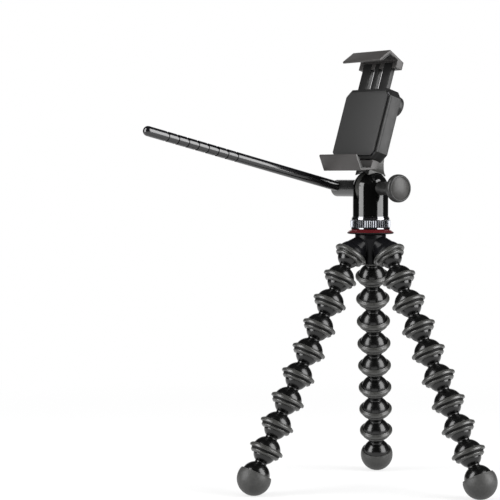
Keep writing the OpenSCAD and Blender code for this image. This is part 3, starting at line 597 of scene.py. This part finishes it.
def softened(node, mat, body, voxel, rounds):
    """A copy of a node with its creases and facets rounded off; the voxel is in mm."""
    piece = bpy.data.objects.new(node + "_soft", NODES[node].data.copy())
    bpy.context.scene.collection.objects.link(piece)
    remesh = piece.modifiers.new("even", "REMESH")
    remesh.mode = "VOXEL"
    remesh.voxel_size = voxel * MM
    smoothing = piece.modifiers.new("soft", "SMOOTH")
    smoothing.factor = 0.5
    smoothing.iterations = rounds
    bpy.context.view_layer.update()
    mesh = bpy.data.meshes.new_from_object(
        piece.evaluated_get(bpy.context.evaluated_depsgraph_get()))
    bpy.data.objects.remove(piece)
    mesh.name = node + "_soft"
    mesh.materials.clear()
    smooth(mesh, CAST_SHARP)
    return add(node + "_soft", mesh, mat, body, None, (node,))


softened("hub_body", HUB_SATIN, "stand", voxel=0.3, rounds=6)
softened("tilt_arm", ARM_GREY, "tilt", voxel=0.25, rounds=9)

for node_name, mat, slot_name, body_name, edge_width in (
        ("clamp_back", SATIN, "arm_black", "clamp", 0.5),
        ("clamp_front", SATIN, "arm_black", "clamp", 0.35),
        ("back_pad", JAW_RUBBER, "rubber_grey", "clamp", 0.3),
        ("lower_jaw", JAW, "jaw_grey", "clamp", 0.3),
        ("upper_jaw", JAW, "jaw_grey", "upper_jaw", 0.3),
        ("slide_rails", SATIN, "arm_black", "upper_jaw", 0.3),
        ("middle_rail", SATIN, "arm_black", "upper_jaw", 0.3)):
    bevelled(node_name, mat, body_name, edge_width)

# Stage, lights and camera, in metres; angles from the side that looks along +Y

FLOOR_GREY, FLOOR_GLOW = 0.22, 0.73
FLOOR_R, FADE_FROM, FADE_TO = 1.2, 0.3, 0.75
FLOOR_CORNERS, FLOOR_DROP = 72, 0.0002
CAMERA_SPOT, CAMERA_AIM = 53.7, 3.39  # where it stands, and how far it looks past
CAMERA_TURN = math.radians(CAMERA_SPOT + CAMERA_AIM)
CAMERA_AWAY, CAMERA_HIGH, CAMERA_DOWN = 1.3414, 0.2039, 2.0
FOCAL_PX, IMAGE_PX, SENSOR = 2035.0, 500, 36.0


def either(nodes, links, path, *names):
    """1 for a ray of any of the named kinds, else 0."""
    value = path.outputs[names[0]]
    for name in names[1:]:
        pick = nodes.new("ShaderNodeMath")
        pick.operation = "MAXIMUM"
        links.new(value, pick.inputs[0])
        links.new(path.outputs[name], pick.inputs[1])
        value = pick.outputs[0]
    return value


def floor_material():
    """A pale floor that looks white to the camera and in reflections, with shadows."""
    mat = bpy.data.materials.new("floor_white")
    mat.use_nodes = True
    nodes, links = mat.node_tree.nodes, mat.node_tree.links
    nodes.clear()
    out = nodes.new("ShaderNodeOutputMaterial")
    plain = nodes.new("ShaderNodeBsdfDiffuse")
    plain.inputs["Color"].default_value = (FLOOR_GREY, FLOOR_GREY, FLOOR_GREY, 1)
    path = nodes.new("ShaderNodeLightPath")
    seen = either(nodes, links, path,
                  "Is Camera Ray", "Is Glossy Ray", "Is Transmission Ray")
    glow = nodes.new("ShaderNodeEmission")
    strength = nodes.new("ShaderNodeMath")
    strength.operation = "MULTIPLY"
    strength.inputs[1].default_value = FLOOR_GLOW
    links.new(seen, strength.inputs[0])
    links.new(strength.outputs[0], glow.inputs["Strength"])
    near = nodes.new("ShaderNodeAddShader")
    links.new(plain.outputs[0], near.inputs[0])
    links.new(glow.outputs[0], near.inputs[1])
    # away from the object the floor becomes the white of the backdrop
    place = nodes.new("ShaderNodeTexCoord")
    away = nodes.new("ShaderNodeVectorMath")
    away.operation = "LENGTH"
    links.new(place.outputs["Object"], away.inputs[0])
    fade = nodes.new("ShaderNodeMapRange")
    fade.interpolation_type = "SMOOTHSTEP"
    fade.inputs["From Min"].default_value = FADE_FROM
    fade.inputs["From Max"].default_value = FADE_TO
    links.new(away.outputs["Value"], fade.inputs["Value"])
    white = nodes.new("ShaderNodeEmission")
    links.new(seen, white.inputs["Strength"])
    blend = nodes.new("ShaderNodeMixShader")
    links.new(fade.outputs["Result"], blend.inputs[0])
    links.new(near.outputs[0], blend.inputs[1])
    links.new(white.outputs[0], blend.inputs[2])
    links.new(blend.outputs[0], out.inputs["Surface"])
    return mat


floor_mesh = bpy.data.meshes.new("floor")
floor_turns = [2 * math.pi * k / FLOOR_CORNERS for k in range(FLOOR_CORNERS)]
floor_mesh.from_pydata([(FLOOR_R * math.cos(a), FLOOR_R * math.sin(a), 0)
                        for a in floor_turns], [], [tuple(range(FLOOR_CORNERS))])
floor = bpy.data.objects.new("floor", floor_mesh)
bpy.context.scene.collection.objects.link(floor)
floor.location.z = -FLOOR_DROP
floor_mesh.materials.append(floor_material())

# The room: white to the camera, a soft light that grows with height, and in
# reflections a white backdrop on the far side and a dim room on the near side
SOFT_LOW, SOFT_HIGH, DIM_ROOM = 0.08, 0.75, 0.03
SOFT_FROM, SOFT_TO = -0.2, 1.0  # heights of the light's direction
BACKDROP_EDGE = math.cos(math.radians(30)), math.cos(math.radians(18))

world = bpy.data.worlds.new("studio")
world.use_nodes = True
bpy.context.scene.world = world
w_nodes, w_links = world.node_tree.nodes, world.node_tree.links
w_nodes.clear()
w_out = w_nodes.new("ShaderNodeOutputWorld")
w_path = w_nodes.new("ShaderNodeLightPath")


def background(strength):
    node = w_nodes.new("ShaderNodeBackground")
    node.inputs["Color"].default_value = (1, 1, 1, 1)
    node.inputs["Strength"].default_value = strength
    return node


def world_mix(factor, first, second):
    node = w_nodes.new("ShaderNodeMixShader")
    w_links.new(factor, node.inputs[0])
    w_links.new(first.outputs[0], node.inputs[1])
    w_links.new(second.outputs[0], node.inputs[2])
    return node


w_place = w_nodes.new("ShaderNodeTexCoord")
far_side = w_nodes.new("ShaderNodeVectorMath")
far_side.operation = "DOT_PRODUCT"
far_side.inputs[1].default_value = (-math.sin(CAMERA_TURN), math.cos(CAMERA_TURN), 0)
w_links.new(w_place.outputs["Generated"], far_side.inputs[0])
edge = w_nodes.new("ShaderNodeMapRange")
edge.inputs["From Min"].default_value = BACKDROP_EDGE[0]
edge.inputs["From Max"].default_value = BACKDROP_EDGE[1]
w_links.new(far_side.outputs["Value"], edge.inputs["Value"])
mirrored = world_mix(edge.outputs["Result"], background(DIM_ROOM), background(1.0))
up = w_nodes.new("ShaderNodeSeparateXYZ")
w_links.new(w_place.outputs["Generated"], up.inputs[0])
soft = w_nodes.new("ShaderNodeMapRange")
soft.inputs["From Min"].default_value = SOFT_FROM
soft.inputs["From Max"].default_value = SOFT_TO
soft.inputs["To Min"].default_value = SOFT_LOW
soft.inputs["To Max"].default_value = SOFT_HIGH
w_links.new(up.outputs["Z"], soft.inputs["Value"])
ambient = background(SOFT_HIGH)
w_links.new(soft.outputs["Result"], ambient.inputs["Strength"])
lit = world_mix(w_path.outputs["Is Glossy Ray"], ambient, mirrored)
shown = world_mix(either(w_nodes, w_links, w_path, "Is Camera Ray", "Is Transmission Ray"),
                  lit, background(1.0))
w_links.new(shown.outputs[0], w_out.inputs["Surface"])


PANEL_RISE, PANEL_AWAY, PANEL_TALL = 0.7, 1.0, 1.36


def panel(name, azimuth, width, power):
    """A soft box beside the object; azimuth in degrees, positive to the camera's
    right."""
    light = bpy.data.lights.new(name, "AREA")
    light.shape = "RECTANGLE"
    light.size, light.size_y = width, PANEL_TALL
    light.energy = power
    obj = bpy.data.objects.new(name, light)
    bpy.context.scene.collection.objects.link(obj)
    a = CAMERA_TURN + math.radians(azimuth)
    obj.location = (math.sin(a) * PANEL_AWAY, -math.cos(a) * PANEL_AWAY, PANEL_RISE)
    obj.rotation_mode = "QUATERNION"
    back = Vector((math.sin(a), -math.cos(a), 0))
    obj.rotation_quaternion = back.to_track_quat("Z", "Y")
    return obj


panel("box_left", azimuth=-67, width=0.57, power=18)
panel("box_right", azimuth=63, width=0.78, power=24)

camera_data = bpy.data.cameras.new("camera")
camera_data.sensor_width = SENSOR
camera_data.lens = FOCAL_PX / IMAGE_PX * SENSOR
camera_data.clip_start = 0.05
camera_data.clip_end = 20
camera = bpy.data.objects.new("camera", camera_data)
bpy.context.scene.collection.objects.link(camera)
spot = math.radians(CAMERA_SPOT)
camera.location = (CAMERA_AWAY * math.sin(spot), -CAMERA_AWAY * math.cos(spot), CAMERA_HIGH)
camera.rotation_euler = (math.radians(90 - CAMERA_DOWN), 0, CAMERA_TURN)
bpy.context.scene.camera = camera

bpy.context.scene.view_settings.view_transform = "Standard"
